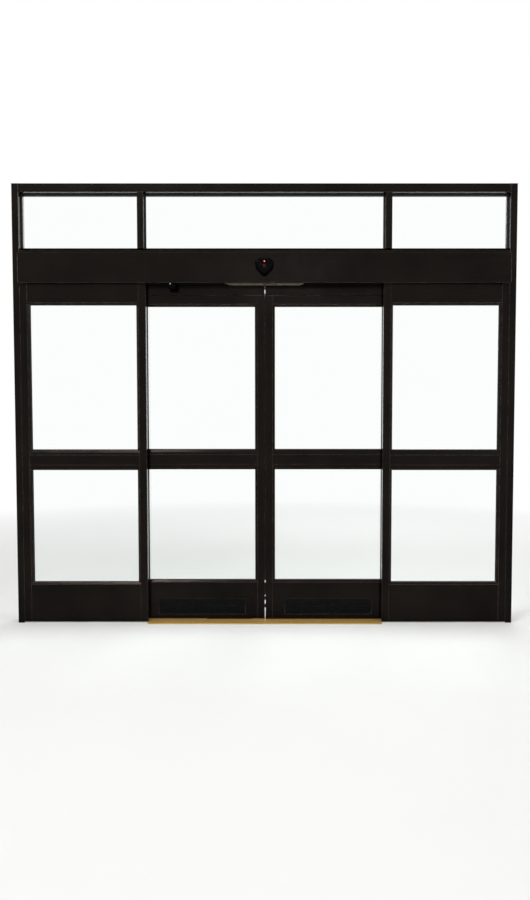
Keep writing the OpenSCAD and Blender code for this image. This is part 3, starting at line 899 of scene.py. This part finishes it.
def sensor_details():
    """The lens window with its dome, and the ringed indicator lamp of each sensor."""
    lamp_height, dome_height = 0.0860, 0.0560
    for node, facing in (("inside_sensor", -1), ("outside_sensor", 1)):
        lo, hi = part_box(node)
        face = lo.y if facing < 0 else hi.y
        cx, foot = (lo.x + hi.x) / 2, lo.z
        out = (0, facing, 0)
        sensor_window(node, cx, face, foot, facing)
        turned_piece(f"{node}_dome", (cx, face, foot + dome_height), out, "lens", DOME, ROUND)
        lamp_at = (cx, face, foot + lamp_height)
        turned_piece(f"{node}_lamp_ring", lamp_at, out, "sensor", LAMP_RING, CRISP)
        turned_piece(f"{node}_lamp", lamp_at, out, "lamp", LAMP, DOMED)


# The window's crown: pairs of how far a ring is drawn in and how far it stands proud
WINDOW_CROWN = ((0.0, -0.0008), (0.0, 0.0006), (0.0012, 0.0014), (0.0060, 0.0021), (0.0140, 0.0025))


def sensor_window(node, cx, face, foot, facing):
    """A dark, slightly crowned lens with round corners on the sensor's front, narrower at its foot."""
    half, low, high = 0.031, foot + 0.030, foot + 0.072
    corner, least_corner, narrowing, steps = 0.010, 0.004, 0.011, 6
    rings = []
    for shrink, proud in WINDOW_CROWN:
        r = max(corner - shrink * 0.5, least_corner)
        ring = []
        for sx, sz, quarter in ((1, 1, 0), (-1, 1, 1), (-1, -1, 2), (1, -1, 3)):
            mx = sx * (half - shrink - r - (narrowing if sz < 0 else 0))
            mz = (low + shrink + r) if sz < 0 else (high - shrink - r)
            for k in range(steps + 1):
                t = math.pi / 2 * (quarter + k / steps)
                ring.append((cx + mx + r * math.cos(t), face + facing * proud, mz + r * math.sin(t)))
        rings.append(ring)
    bm = bmesh.new()
    loft(bm, rings)
    piece(f"{node}_window", bm, "frame", "window", ROUND)


def switch_box():
    """A small dark control box under the header's cover, with a pale button in a collar."""
    x0, x1, y0, y1 = -0.642, -0.586, -0.084, -0.046
    drop, let_in, bevel = 0.033, 0.0005, 0.003
    button_in, button_down = 0.022, 0.0056
    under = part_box("header_cover")[0].z
    bm = bmesh.new()
    block(bm, (x0, y0, under - drop), (x1, y1, under + let_in), bevel)
    piece("switch_box", bm, "frame", "sensor", CRISP)
    button = (x0 + button_in, y0, under - button_down)
    turned_piece("switch_collar", button, TO_ROOM, "screw_dark", COLLAR, CRISP)
    turned_piece("switch_button", button, TO_ROOM, "white_plastic", BUTTON, ROUND)


def plate_eye():
    """The small dark eye in the middle of the underside plate, and the plate's two fixing screws."""
    y, from_end, radius, proud = -0.036, 0.050, 0.0045, 0.0006
    lo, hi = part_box("underside_plate")
    turned_piece("plate_eye", (0, y, lo.z), DOWN, "sensor", EYE, ROUND)
    bm = bmesh.new()
    for x in (lo.x + from_end, hi.x - from_end):
        screw_head(bm, (x, y, lo.z), DOWN, radius, proud)
    piece("plate_screws", bm, "frame", "screw_dark", CRISP)


# Stage

def floor():
    bm = bmesh.new()
    bmesh.ops.create_grid(bm, x_segments=1, y_segments=1, size=FLOOR_SIZE)
    mesh = bpy.data.meshes.new("stage_floor")
    bm.to_mesh(mesh)
    bm.free()
    thing = bpy.data.objects.new("stage_floor", mesh)
    bpy.context.scene.collection.objects.link(thing)
    mesh.materials.append(floor_material())


def floor_material():
    """Pale matt floor near the entrance that passes into the white of the background further out."""
    t = Tree("stage_floor")
    t.set(Specular_IOR_Level=0.2)
    mottled = t.noise(1.6, 4.0)
    t.colour(t.blended(mottled, *FLOOR_SHADES))
    t.rough(t.ranged(mottled, 0.3, 0.7, 0.75, 0.85))
    length = t.add("ShaderNodeVectorMath", operation="LENGTH")
    t.link(t.scaled((1, 1, 0)), length.inputs[0])
    far = t.ranged(length.outputs["Value"], *FLOOR_FADE, 0, 1)
    glow = t.add("ShaderNodeEmission")
    glow.inputs["Color"].default_value = WHITE
    t.overlay(t.times(far, seen_rays(t.tree)), glow.outputs["Emission"])
    return t.material


def world():
    """White for the camera, mirrors and glass, and a softer fill for everything else."""
    studio = bpy.data.worlds.new("studio")
    bpy.context.scene.world = studio
    studio.use_nodes = True
    tree = studio.node_tree
    background = tree.nodes["Background"]
    background.inputs["Color"].default_value = WHITE
    strength = tree.nodes.new("ShaderNodeMapRange")
    strength.inputs["To Min"].default_value = WORLD_FILL
    strength.inputs["To Max"].default_value = 1.0
    tree.links.new(seen_rays(tree), strength.inputs["Value"])
    tree.links.new(strength.outputs["Result"], background.inputs["Strength"])


def area_lamp(name, place, target, size, power):
    lamp = bpy.data.lights.new(name, "AREA")
    lamp.shape = "RECTANGLE"
    lamp.size, lamp.size_y = size
    lamp.energy = power
    thing = bpy.data.objects.new(name, lamp)
    bpy.context.scene.collection.objects.link(thing)
    thing.location = place
    thing.rotation_euler = (Vector(target) - Vector(place)).to_track_quat("-Z", "Y").to_euler()
    thing.visible_camera = thing.visible_transmission = False


def camera():
    data = bpy.data.cameras.new("camera")
    data.lens = CAMERA_LENS
    data.sensor_width = CAMERA_SENSOR
    data.shift_x, data.shift_y = CAMERA_SHIFT
    data.clip_start, data.clip_end = CAMERA_CLIP
    thing = bpy.data.objects.new("camera", data)
    bpy.context.scene.collection.objects.link(thing)
    thing.location = CAMERA_AT
    thing.rotation_euler = (math.radians(90 - CAMERA_PITCH), 0, 0)
    bpy.context.scene.camera = thing


camera()
dress_nodes()
panel_gaskets()
pivot_beads()
transom_gaskets()
meeting_seals()
interlock_seals()
slot_brush()
leaf_top_seals()
hanger_bumpers()
bottom_sweeps()
threshold_screws()
track_screws()
sensor_details()
switch_box()
plate_eye()
floor()
world()
for lamp_row in LAMPS:
    area_lamp(*lamp_row)
bpy.context.scene.view_settings.view_transform = "Standard"
